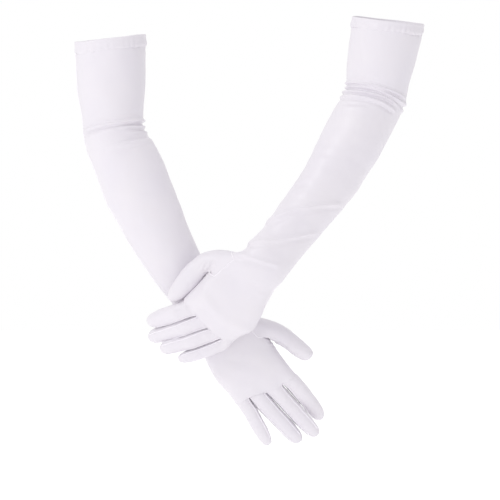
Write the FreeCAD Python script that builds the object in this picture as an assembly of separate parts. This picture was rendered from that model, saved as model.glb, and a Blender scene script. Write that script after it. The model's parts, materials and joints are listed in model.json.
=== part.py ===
import FreeCAD, Part
import math
import os

# A pair of long stretch-satin opera gloves, worn and crossed at the wrists.
# The right glove lies behind, the left glove's hand rests on the right glove's wrist.
# Origin: centre of the right glove's arm opening.  +Z up, -Y towards the viewer,
# +X towards the left glove.  Millimetres.

os.makedirs("parts", exist_ok=True)
Vector = FreeCAD.Vector

# ---- fabric and clearances -------------------------------------------------------------
wall = 0.8               # stretched satin with its brushed back
hem_height = 15.0        # depth of the turned hem
hem_layer = 0.6          # one layer of the turned hem
hem_play = 0.15          # between the hem's layers and the elastic in it
elastic_height = 7.0
panel_gap = 0.25         # between the back panel and the palm panel, each side of a seam
seam_width = 1.6         # sewn ridge along a side seam
seam_rise = 1.1          # how far the ridge stands inside the sleeve
seam_inset = 0.9         # from the fabric's inner face to the ridge
joint_gap = 0.9          # open slit across a joint
reach = 120.0            # size of the cutting bodies
overrun = 12.0           # how far a digit's tube is drawn past its joint before it is cut there
crumb = 1.0              # mm3, smaller leftovers of a cut are dropped
arc_points = 9           # points that an oval edge is drawn through

# ---- sleeve: half width across the arm, and depth as a share of the width ----------------
opening_radius = 41.0
above_elbow = (36.6, 1.00)
elbow = (34.8, 1.00)
forearm_full = (38.6, 0.90)
forearm_middle = (31.8, 0.84)
wrist = (26.6, 0.74)
mid_palm = (31.0, 0.45)
knuckles_depth = 10.6     # half depth of the palm at the knuckle line

# ---- digits: length from joint to joint, length of the tip part, radii -------------------
# name: (share of the knuckle line from the little finger, first length, tip length,
#        radius at the root, radius at the middle joint, radius near the tip)
fingers = {
    "index": (1.00, 28.0, 44.0, 8.4, 8.2, 7.0),
    "middle": (0.655, 32.5, 50.0, 8.4, 8.2, 7.0),
    "ring": (0.32, 31.8, 50.0, 8.0, 7.8, 6.8),
    "little": (0.00, 26.0, 43.0, 7.0, 6.9, 6.0),
}
thumb_lengths = (37.5, 35.0)
thumb_radii = (11.0, 10.2, 8.6)
web_width = 4.0          # fourchette between two finger roots, inside the mouth of the palm
web_depth = 11.0
web_thickness = 1.0

# ---- the two poses ---------------------------------------------------------------------
# Headings are degrees from straight down towards +X, dips are degrees towards +Y.
# A thumb's lean turns its hinge, so that it opens clear of the palm's edge.
right_glove = {
    "side": "right",
    "opening": Vector(0, 0, 0),
    "opening_faces": Vector(-0.113, -0.12, 0.986),
    "above_elbow": Vector(2.3, 0, -80),
    "elbow": Vector(4.6, 0, -110),
    "forearm_full": Vector(30, 1, -168),
    "forearm_middle": Vector(67, 3, -246),
    "wrist": Vector(120.7, 6, -325.5),
    "index_knuckle": Vector(203, 13.5, -388),
    "little_knuckle": Vector(146.3, 12.7, -409.5),
    "forearm_fullness": 1.0,
    "elbow_axis": (-0.5, 0.87),
    "elbow_fold": 60.0,
    "wrist_fold": 50.0,
    "finger_fold": 55.0,
    "thumb_fold": 40.0,
    "folds_towards_palm": True,
    "headings": {"index": (38, 39), "middle": (40, 42), "ring": (39, 42), "little": (31, 32)},
    "dips": {"index": (10, 30), "middle": (5, 8), "ring": (4, 6), "little": (4, 6)},
    "thumb_joint": Vector(178, 11, -333),
    "thumb_headings": (58.5, 61.5),
    "thumb_dips": (-2, -6),
    "thumb_lean": 0.0,
}
left_glove = {
    "side": "left",
    "opening": Vector(320.3, 2, 20.7),
    "opening_faces": Vector(0.11, -0.15, 0.983),
    "above_elbow": Vector(309.5, 2, -41),
    "elbow": Vector(304.7, 4, -69),
    "forearm_full": Vector(279.4, -6, -117),
    "forearm_middle": Vector(236.5, -25, -186),
    "wrist": Vector(174.8, -53.5, -262.2),
    "index_knuckle": Vector(103.7, -31.6, -306.2),
    "little_knuckle": Vector(138.1, -20.8, -348),
    "forearm_fullness": 0.94,
    "elbow_axis": (0.83, -0.56),
    "elbow_fold": 55.0,
    "wrist_fold": 40.0,
    "finger_fold": 25.0,
    "thumb_fold": 30.0,
    "folds_towards_palm": False,
    "headings": {"index": (-70, -72), "middle": (-70, -75), "ring": (-69, -76), "little": (-66, -71)},
    "dips": {"index": (10, 38), "middle": (10, 35), "ring": (5, 25), "little": (3, 12)},
    "thumb_joint": Vector(131, -37, -254),
    "thumb_headings": (-59.5, -46),
    "thumb_dips": (6, 10),
    "thumb_lean": 60.0,
}

toward_viewer = Vector(0, -1, 0)


# ---- small vector helpers ----------------------------------------------------------------
def unit(v):
    return Vector(v).normalize()


def square_to(v, normal):
    """The part of v that is square to normal, as a unit vector."""
    n = unit(normal)
    return unit(v - n * v.dot(n))


def heading_vector(heading, dip):
    """Unit vector at a heading from straight down towards +X, dipping towards +Y."""
    h = math.radians(heading)
    d = math.radians(dip)
    return Vector(math.sin(h) * math.cos(d), math.sin(d), -math.cos(h) * math.cos(d))


# ---- sleeve sections ----------------------------------------------------------------------
class Section:
    """An oval slice of the sleeve: centre, direction along, thumb side and back side."""

    def __init__(self, centre, along, thumb_side, half_width, half_depth):
        self.centre = centre
        self.along = unit(along)
        self.thumb_side = square_to(thumb_side, self.along)
        self.half_width = half_width
        self.half_depth = half_depth
        back = self.along.cross(self.thumb_side)
        self.back = back if back.dot(toward_viewer) > 0 else back * -1

    def point(self, degrees, inset):
        """A point on the oval: 0 is the thumb side, 90 the back of the hand."""
        a = math.radians(degrees)
        across = self.thumb_side * ((self.half_width - inset) * math.cos(a))
        deep = self.back * ((self.half_depth - inset) * math.sin(a))
        return self.centre + across + deep

    def arc(self, first, last, inset):
        """A smooth edge along the oval between two angles."""
        step = (last - first) / (arc_points - 1)
        points = [self.point(first + step * i, inset) for i in range(arc_points)]
        curve = Part.BSplineCurve()
        curve.interpolate(points)
        return curve.toShape()

    def half_ring(self, first, last):
        """Closed outline of the fabric between two angles."""
        outer = self.arc(first, last, 0)
        inner = self.arc(last, first, wall)
        side_a = Part.makeLine(self.point(last, 0), self.point(last, wall))
        side_b = Part.makeLine(self.point(first, wall), self.point(first, 0))
        return Part.Wire([outer, side_a, inner, side_b])

    def seam_outline(self, degrees):
        """Closed outline of the sewn ridge just inside the fabric at one angle."""
        out = unit(self.point(degrees, 0) - self.centre)
        along_oval = square_to(self.back, out)
        middle = self.point(degrees, wall + seam_inset)
        corners = []
        for side, rise in ((-1, 0), (1, 0), (1, 1), (-1, 1)):
            corners.append(middle + along_oval * (side * seam_width / 2) - out * (rise * seam_rise))
        return Part.makePolygon(corners + [corners[0]])


def panel(sections, back):
    """Half of the sleeve: the back panel or the palm panel."""
    outlines = []
    for s in sections:
        trim = math.degrees(panel_gap / s.half_depth)
        first = trim if back else 180 + trim
        outlines.append(s.half_ring(first, first + 180 - 2 * trim))
    return Part.makeLoft(outlines, True, False)


def seam(sections, degrees):
    """The sewn ridge along one side of the sleeve."""
    return Part.makeLoft([s.seam_outline(degrees) for s in sections], True, False)


# ---- cutting bodies at the joints -----------------------------------------------------------
def half_space(point, normal):
    """A large block on the side of the plane that normal points to."""
    n = unit(normal)
    side = Vector(1, 0, 0) if abs(n.x) < 0.9 else Vector(0, 0, 1)
    u = square_to(side, n) * reach
    v = n.cross(unit(u)) * reach
    corners = [point + u + v, point - u + v, point - u - v, point + u - v]
    face = Part.Face(Part.makePolygon(corners + [corners[0]]))
    return face.extrude(n * reach)


def fold_side(axis, along, wanted):
    """The direction square to both axis and along that lies on the wanted side."""
    side = unit(axis.cross(along))
    return side if side.dot(wanted) > 0 else side * -1


def fold_gap(point, along, axis, inner_side, fold):
    """The room a joint needs: a slit across it, and a wedge on the side it folds to.

    The wedge takes half of the fold from each of the two parts.
    """
    half = math.radians(fold / 2)
    n = unit(along)
    m = square_to(inner_side, axis)
    apex = point - m * (joint_gap / (2 * math.sin(half)))
    spread = n * (reach * math.tan(half))
    upper = apex + m * reach - spread
    lower = apex + m * reach + spread
    triangle = Part.Face(Part.makePolygon([apex, upper, lower, apex]))
    triangle.translate(unit(axis) * -reach)
    wedge = triangle.extrude(unit(axis) * (2 * reach))
    slit = half_space(point - n * (joint_gap / 2), n)
    slit = slit.cut(half_space(point + n * (joint_gap / 2), n))
    return slit.fuse(wedge)


# ---- one glove ----------------------------------------------------------------------------
class Glove:
    """Directions, sections and joints worked out from one pose."""

    def __init__(self, pose):
        self.pose = pose
        self.side = pose["side"]
        upper = unit(pose["elbow"] - pose["opening"])
        lower = unit(pose["wrist"] - pose["elbow"])
        knuckle_line = pose["index_knuckle"] - pose["little_knuckle"]
        self.knuckle_axis = unit(knuckle_line)
        self.knuckle_centre = (pose["index_knuckle"] + pose["little_knuckle"]) * 0.5
        self.palm_along = unit(self.knuckle_centre - pose["wrist"])
        self.knuckle_along = square_to(self.palm_along, self.knuckle_axis)
        self.elbow_along = unit(upper + lower)
        self.wrist_along = unit(unit(pose["wrist"] - pose["forearm_middle"]) + self.palm_along)
        thumb = self.knuckle_axis
        self.thumb_side = thumb
        wide = pose["forearm_fullness"]
        self.hem_down = unit(pose["opening_faces"]) * -1
        hem_end = pose["opening"] + self.hem_down * (hem_height + hem_play)
        self.top = Section(hem_end, self.hem_down, thumb, opening_radius, opening_radius)
        self.narrow = self.section("above_elbow", upper, above_elbow, 1.0)
        self.bend = self.section("elbow", self.elbow_along, elbow, 1.0)
        full_along = pose["forearm_middle"] - pose["elbow"]
        self.full = self.section("forearm_full", full_along, forearm_full, wide)
        mid_along = pose["wrist"] - pose["forearm_full"]
        self.middle = self.section("forearm_middle", mid_along, forearm_middle, wide)
        self.cuff = self.section("wrist", self.wrist_along, wrist, 1.0)
        palm_centre = (pose["wrist"] + self.knuckle_centre) * 0.5
        palm_width = mid_palm[0]
        self.palm = Section(palm_centre, self.palm_along, thumb, palm_width, palm_width * mid_palm[1])
        row_half = knuckle_line.Length / 2 + fingers["index"][3]
        self.row = Section(self.knuckle_centre, self.knuckle_along, thumb, row_half, knuckles_depth)
        self.inner_sign = -1 if pose["folds_towards_palm"] else 1
        self.hand_back = self.palm.back

    def section(self, place, along, size, fullness):
        width = size[0] * fullness
        return Section(self.pose[place], along, self.thumb_side, width, width * size[1])

    def elbow_gap(self):
        """The elbow's axis lies in its own oval slice, between depth and width."""
        depth_share, width_share = self.pose["elbow_axis"]
        flat = square_to(Vector(1, 0, 0), self.elbow_along)
        deep = square_to(Vector(0, 1, 0), self.elbow_along)
        axis = unit(deep * depth_share + flat * width_share)
        inner = axis.cross(self.elbow_along)
        room = fold_gap(self.pose["elbow"], self.elbow_along, axis, inner, self.pose["elbow_fold"])
        return room, axis

    def wrist_gap(self):
        inner = self.cuff.back * self.inner_sign
        axis = self.cuff.thumb_side
        return fold_gap(self.pose["wrist"], self.wrist_along, axis, inner, self.pose["wrist_fold"])

    def knuckle(self, name):
        share = fingers[name][0]
        step = self.pose["index_knuckle"] - self.pose["little_knuckle"]
        return self.pose["little_knuckle"] + step * share


def tube(start, end, start_radius, end_radius):
    """A tapered round bar."""
    along = end - start
    return Part.makeCone(start_radius, end_radius, along.Length, start, along)


def round_ended(start, end, start_radius, end_radius):
    """A tapered round bar with a ball end that reaches exactly to end."""
    along = unit(end - start)
    ball_centre = end - along * end_radius
    bar = tube(start, ball_centre, start_radius, end_radius)
    return bar.fuse(Part.makeSphere(end_radius, ball_centre))


def sleeve_shell(start, end, start_radius, end_radius):
    """Open fabric tube between two joints."""
    along = unit(end - start)
    outer = tube(start, end, start_radius, end_radius)
    inner = tube(start - along, end + along, start_radius - wall, end_radius - wall)
    return outer.cut(inner)


def tip_shell(start, end, start_radius, end_radius):
    """Fabric finger end: open at its joint, rounded at the fingertip."""
    along = unit(end - start)
    outer = round_ended(start, end, start_radius, end_radius)
    inner = round_ended(start - along, end - along * wall, start_radius - wall, end_radius - wall)
    return outer.cut(inner)


def digit(root, first_dir, tip_dir, lengths, radii, axis, root_cut, fold, inner_sign, back):
    """The base part and the tip part of one finger or thumb, and its middle joint."""
    middle = root + first_dir * lengths[0]
    tip = middle + tip_dir * lengths[1]
    bend_along = unit(first_dir + tip_dir)
    bend_axis = square_to(axis, bend_along)
    inner = fold_side(bend_axis, bend_along, back * inner_sign)
    gap = fold_gap(middle, bend_along, bend_axis, inner, fold)
    base = sleeve_shell(root - first_dir * overrun, middle + first_dir * overrun, radii[0], radii[1])
    base = base.cut(root_cut).cut(half_space(middle, bend_along)).cut(gap)
    end = tip_shell(middle - tip_dir * overrun, tip, radii[1], radii[2])
    end = end.cut(half_space(middle, bend_along * -1)).cut(gap)
    return base, end, middle, bend_axis


nodes = {}
joints = {}


def keep(name, shape):
    """Store one named piece, without crumbs left by the cuts."""
    solids = [s for s in shape.Solids if s.Volume > crumb]
    nodes[name] = solids[0] if len(solids) == 1 else Part.makeCompound(solids)


def build_hem(glove):
    """The turned hem at the arm opening: outer layer, inner facing, elastic between them."""
    side = glove.side
    top = glove.pose["opening"]
    down = glove.hem_down
    outer_inside = opening_radius - hem_layer
    elastic_outside = outer_inside - hem_play
    elastic_inside = elastic_outside - hem_layer
    facing_outside = elastic_inside - hem_play
    facing_inside = facing_outside - hem_layer
    middle = top + down * ((hem_height - elastic_height) / 2)
    keep(side + "_hem_band", ring(top, down, hem_height, opening_radius, outer_inside))
    keep(side + "_hem_facing", ring(top, down, hem_height, facing_outside, facing_inside))
    keep(side + "_hem_elastic", ring(middle, down, elastic_height, elastic_outside, elastic_inside))


def ring(top, down, height, outer, inner):
    """A flat-ended round band."""
    return Part.makeCylinder(outer, height, top, down).cut(Part.makeCylinder(inner, height, top, down))


def build_sleeve(glove):
    """The panels and side seams of the upper sleeve, the forearm and the hand."""
    side = glove.side
    elbow_room, elbow_line = glove.elbow_gap()
    wrist_room = glove.wrist_gap()
    upper_slices = [glove.top, glove.narrow, glove.bend]
    forearm_slices = [glove.bend, glove.full, glove.middle, glove.cuff]
    hand_slices = [glove.cuff, glove.palm, glove.row]
    for part, slices, rooms in (
        ("upper_sleeve", upper_slices, [elbow_room]),
        ("forearm", forearm_slices, [elbow_room, wrist_room]),
        ("hand", hand_slices, [wrist_room]),
    ):
        shapes = {
            "back": panel(slices, True),
            "palm_side": panel(slices, False),
            "outer_seam": seam(slices, 180),
        }
        for label, shape in shapes.items():
            for room in rooms:
                shape = shape.cut(room)
            keep(side + "_" + part + "_" + label, shape)
    joints[side + "_elbow"] = (glove.pose["elbow"], elbow_line)
    wrist_axis = turning_to_palm(glove.cuff.thumb_side, glove.palm_along, glove.hand_back)
    joints[side + "_wrist"] = (glove.pose["wrist"], wrist_axis)


def root_room(glove, root, axis, ahead, fold):
    """Space kept free at a digit's root: all behind its axis, and a wedge for its fold."""
    inner = fold_side(axis, ahead, glove.hand_back * glove.inner_sign)
    behind = half_space(root + ahead * joint_gap, ahead * -1)
    turn = math.radians(fold)
    apex = root - inner * (joint_gap / math.sin(turn))
    up = apex + inner * reach
    over = apex + inner * (reach * math.cos(turn)) + ahead * (reach * math.sin(turn))
    triangle = Part.Face(Part.makePolygon([apex, up, over, apex]))
    triangle.translate(axis * -reach)
    return behind.fuse(triangle.extrude(axis * (2 * reach)))


def turning_to_palm(axis, direction, back):
    """The axis, signed so that a positive turn swings the direction towards the palm."""
    return axis if axis.cross(direction).dot(back) < 0 else axis * -1


def build_fingers(glove):
    """Four fingers, each a base part and a tip part, hinged on the knuckle line."""
    side = glove.side
    fold = glove.pose["finger_fold"]
    for name, row in fingers.items():
        root = glove.knuckle(name)
        first_dir = heading_vector(glove.pose["headings"][name][0], glove.pose["dips"][name][0])
        tip_dir = heading_vector(glove.pose["headings"][name][1], glove.pose["dips"][name][1])
        room = root_room(glove, root, glove.knuckle_axis, glove.knuckle_along, fold)
        base, end, middle, bend_axis = digit(
            root, first_dir, tip_dir, row[1:3], row[3:6], glove.knuckle_axis,
            room, fold, glove.inner_sign, glove.hand_back,
        )
        keep(side + "_" + name + "_base", base)
        keep(side + "_" + name + "_tip", end)
        turn = turning_to_palm(glove.knuckle_axis, first_dir, glove.hand_back)
        bend = turning_to_palm(bend_axis, tip_dir, glove.hand_back)
        joints[side + "_" + name + "_knuckle"] = (root, turn)
        joints[side + "_" + name + "_middle"] = (middle, bend)


def build_thumb(glove):
    """The set-in thumb: a base part beside the palm and a tip part."""
    side = glove.side
    pose = glove.pose
    root = pose["thumb_joint"]
    first_dir = heading_vector(pose["thumb_headings"][0], pose["thumb_dips"][0])
    tip_dir = heading_vector(pose["thumb_headings"][1], pose["thumb_dips"][1])
    lean = FreeCAD.Rotation(first_dir, pose["thumb_lean"])
    axis = lean.multVec(square_to(glove.palm_along, first_dir))
    room = root_room(glove, root, axis, first_dir, pose["thumb_fold"])
    base, end, middle, bend_axis = digit(
        root, first_dir, tip_dir, thumb_lengths, thumb_radii, axis,
        room, pose["thumb_fold"], glove.inner_sign, glove.hand_back,
    )
    keep(side + "_thumb_base", base)
    keep(side + "_thumb_tip", end)
    joints[side + "_thumb_root"] = (root, turning_to_palm(axis, first_dir, glove.hand_back))
    joints[side + "_thumb_middle"] = (middle, turning_to_palm(bend_axis, tip_dir, glove.hand_back))


def build_webs(glove):
    """The fourchette between each two finger roots, where it joins back and palm."""
    names = list(fingers)
    for first, second in zip(names, names[1:]):
        first_side = glove.knuckle(first) - glove.knuckle_axis * fingers[first][3]
        second_side = glove.knuckle(second) + glove.knuckle_axis * fingers[second][3]
        centre = (first_side + second_side) * 0.5 - glove.knuckle_along * (2 * web_thickness)
        across = glove.knuckle_axis * (web_width / 2)
        deep = glove.row.back * (web_depth / 2)
        corners = []
        for s, t in ((-1, -1), (1, -1), (1, 1), (-1, 1)):
            corners.append(centre + across * s + deep * t)
        face = Part.Face(Part.makePolygon(corners + [corners[0]]))
        web = face.extrude(glove.knuckle_along * web_thickness)
        keep(glove.side + "_fourchette_" + first + "_" + second, web)


for pose in (right_glove, left_glove):
    glove = Glove(pose)
    build_hem(glove)
    build_sleeve(glove)
    build_fingers(glove)
    build_thumb(glove)
    build_webs(glove)

for name, shape in nodes.items():
    shape.exportStep("parts/" + name + ".step")
    state = "valid" if shape.isValid() else "NOT VALID"
    print(name, state, len(shape.Solids), "solid(s)", round(shape.Volume, 1), "mm3")
for name, (point, axis) in joints.items():
    print("joint", name, [round(c, 3) for c in point], [round(c, 5) for c in axis])
print(len(nodes), "nodes")
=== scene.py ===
import json
import math

import bmesh
import bpy
import numpy as np
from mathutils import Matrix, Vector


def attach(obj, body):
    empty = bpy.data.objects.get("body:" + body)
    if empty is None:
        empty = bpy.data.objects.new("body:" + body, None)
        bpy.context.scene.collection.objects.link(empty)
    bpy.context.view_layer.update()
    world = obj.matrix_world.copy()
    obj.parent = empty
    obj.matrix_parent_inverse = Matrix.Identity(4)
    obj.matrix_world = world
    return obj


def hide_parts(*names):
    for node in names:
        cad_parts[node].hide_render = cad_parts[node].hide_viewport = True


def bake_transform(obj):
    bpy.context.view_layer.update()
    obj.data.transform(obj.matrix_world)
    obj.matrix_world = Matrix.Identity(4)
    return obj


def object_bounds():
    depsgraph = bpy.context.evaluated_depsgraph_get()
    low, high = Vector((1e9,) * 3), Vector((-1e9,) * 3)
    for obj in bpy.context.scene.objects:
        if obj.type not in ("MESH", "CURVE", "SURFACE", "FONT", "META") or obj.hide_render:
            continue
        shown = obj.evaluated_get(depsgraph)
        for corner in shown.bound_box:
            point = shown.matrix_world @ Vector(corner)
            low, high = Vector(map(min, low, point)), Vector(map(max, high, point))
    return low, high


# A pair of long white satin opera gloves, worn and crossed at the wrists.
# Shapes are worked out in millimetres from the frame's joints and mounts, then scaled to metres.

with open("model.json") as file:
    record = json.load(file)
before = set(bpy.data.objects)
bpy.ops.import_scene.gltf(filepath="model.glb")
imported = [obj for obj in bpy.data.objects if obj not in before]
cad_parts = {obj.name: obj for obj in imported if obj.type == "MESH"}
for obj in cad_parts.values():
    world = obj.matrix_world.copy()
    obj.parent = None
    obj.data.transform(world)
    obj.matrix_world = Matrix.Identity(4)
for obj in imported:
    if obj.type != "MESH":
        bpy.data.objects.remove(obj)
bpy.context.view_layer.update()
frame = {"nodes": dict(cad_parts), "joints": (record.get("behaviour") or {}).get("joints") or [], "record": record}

MM = 0.001
TURN = 2 * math.pi
FABRIC = 0.7  # thickness of the satin
VIEWER = np.array([0.0, -1.0, 0.0])

# the cage, and how far subdivision pulls its loops inwards
RING = 20  # columns round a sleeve: 0 thumb side, 5 back, 10 outer side, 15 palm
FINGER_SIDES = 8  # columns round a finger: 0 thumb side, 2 back, 4 little side, 6 palm
THUMB_SIDES = 14
SMOOTHING = 3  # levels of subdivision
RING_SHRINK = (2 + math.cos(TURN / RING)) / 3
FINGER_SHRINK = (2 + math.cos(TURN / FINGER_SIDES)) / 3
THUMB_SHRINK = (2 + math.cos(TURN / THUMB_SIDES)) / 3

# the sleeve
SLEEVE_STEP = 11.5  # length between rings
ELBOW_STEP = 4.8  # rings lie closer together where the sleeve creases
ELBOW_CREASED = (25, 22)  # the creases reach this far above and below the elbow
BEND_REACH = 24  # a ring faces along the sleeve between places this far to each side
HEM_OVERLAP_START = 8.3  # the sleeve begins this far below the opening, under the hem
HEM_TURN = 70  # over this length the rings turn from the hem's direction to the arm's
WRIST_TAPER = 60  # over this length the sleeve flattens towards the wrist
WRIST_FLATNESS = 0.30
PAST_WRIST = 30  # a row this far into the hand steers the last part of the sleeve
HEM_COUNT = 360  # points round the hem

# the hand
FLAT_X = [1, 0.93, 0.75, 0.51, 0.26, 0, -0.26, -0.51, -0.75, -0.93, -1]
FLAT_Y = [0, 0.6, 0.86, 0.96, 1, 1, 1, 0.96, 0.86, 0.6, 0]
FLAT_RING = 5  # from this ring past the wrist the hand is fully flat
WEB_DEPTH = 9.9  # half depth of the hand where the fingers part
WEB_EDGE = 7  # the web row's edges lie this far past the hand's last ring
WEB_SMOOTHING = 0.85  # how far the web row moves onto a straight run from hand to finger
WEB_SETBACK = 1.5  # the row beside a web lies this far behind it
WEB_LIFT = 0.76  # share of WEB_DEPTH beside a web
FINGER_LIFT = 0.27  # and how much more across a finger
EDGE_COLUMNS = ((0.18, 0.72), (0.55, 1.03))  # between edge and web: place, share of WEB_DEPTH
THUMB_COLUMNS = [18, 19, 0, 1, 2]

# the digits
CORNER = 1.07  # fingers are a little square where they press together
DIGIT_BEND = 9  # a digit's bend at rest reaches this far to each side of its middle joint
RINGS_PAST_WEB = (3.0, 9.5, 15.5)
RINGS_PAST_JOINT = (0.0, 6.5, 13.0, 20.5, 28.0)
RINGS_BEFORE_TIP = (11.0, 5.0)
BASE_END = 15.4  # past this distance from the web a finger's fabric belongs to its tip
TIP_CAP = 0.4  # a CAD tip's end is the middle of its points this close to the farthest
TIP_HALFWAY = 0.55  # the third radius applies at this share of a tip's length
LAST_RING = 0.86  # share of the radius at a fingertip's last full ring
END_RING = 0.62  # and at the small ring that rounds the end
THUMB_TIP_LENGTH = 5.2  # from the thumb's last measured ring to its end ring
THUMB_TIP_WIDTH = 0.60  # share of the last ring's width there
THUMB_BASE_RINGS = 3

# ripples: (height, wavelength, seed)
SLEEVE_RIPPLES = ((0.45, 46.0, 3), (0.08, 17.0, 5))
DIGIT_RIPPLES = ((0.22, 15.0, 11), (0.10, 6.5, 12))
BATCH = 4000  # points compared with a line at one time
CREASE_FADE = 12  # a crease rises from nothing over this length at each end
DRAG_HEIGHT, DRAG_STEP = 0.16, 21.0
GATHER_HEIGHT, GATHER_STEP, GATHER_REACH = 0.5, 4.0, 8.5
PUCKER_HEIGHT, PUCKER_REACH = 0.45, 9.0
GROOVE_DEPTH, GROOVE_WIDTH = 0.55, 3.0

ELBOW_BEND = 26
DIGIT_TIP_BEND = 17  # a tip's bend ends this far past the edge of the base's fabric
DIGIT_TIP_MORE = 10  # and this much further, so that it stays gentle
SHORTEST_BEND = 5

# sewn threads: (radius, lift above the fabric)
OUTER_SEAM = (0.7, 0.1)
THUMB_SEAM = (0.45, 0.05)
FINGER_BACK_SEAM = (0.55, 0.3)
FINGER_PALM_SEAM = (0.4, 0.1)
SEAM_STOP = 5  # a finger's seams stop short of its end
CORD_SIDES = 6

joints = {j["name"]: j for j in frame["joints"]}
mounts = {m["name"]: m for m in frame["record"]["mounts"]}


# ---- sizes ----
# sleeve: rows (place, sideways shift, half width, half depth); place 0-1 is opening to elbow,
#   1-2 is elbow to wrist; sideways is towards the thumb side
# wrist: half width and half depth; wrist_bend: how far its bend reaches up the arm and into the hand
# thumb_edge, outer_edge: (distance from the wrist, distance to the side) for each ring of the hand
# creases: (joint, face, height, width, [(x, z) places from the joint])
# knuckles: height of the row of knuckles, its distance from the wrist, and how far it curves back
# gather: where the fabric gathers at the thumb, as a place on the hand
# thumb_rows: the rings of the hand between which the thumb starts
# thumb_rings: inner edge and outer edge as places on the hand, then half depth
# fingers: sideways shift at the web and at the middle joint, then radius at the web, at the middle
#   joint, halfway along the tip and near its end
# tip_extra: how much longer than its CAD tip a finger is, and how far its end shifts sideways
# web_back: how far each web lies behind the middle joints beside it
HAND_DEPTH = [19.5, 18.8, 17.8, 16.8, 15.8, 14.8, 13.7, 12.6, 11.5, 10.6]  # half, at each ring
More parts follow.
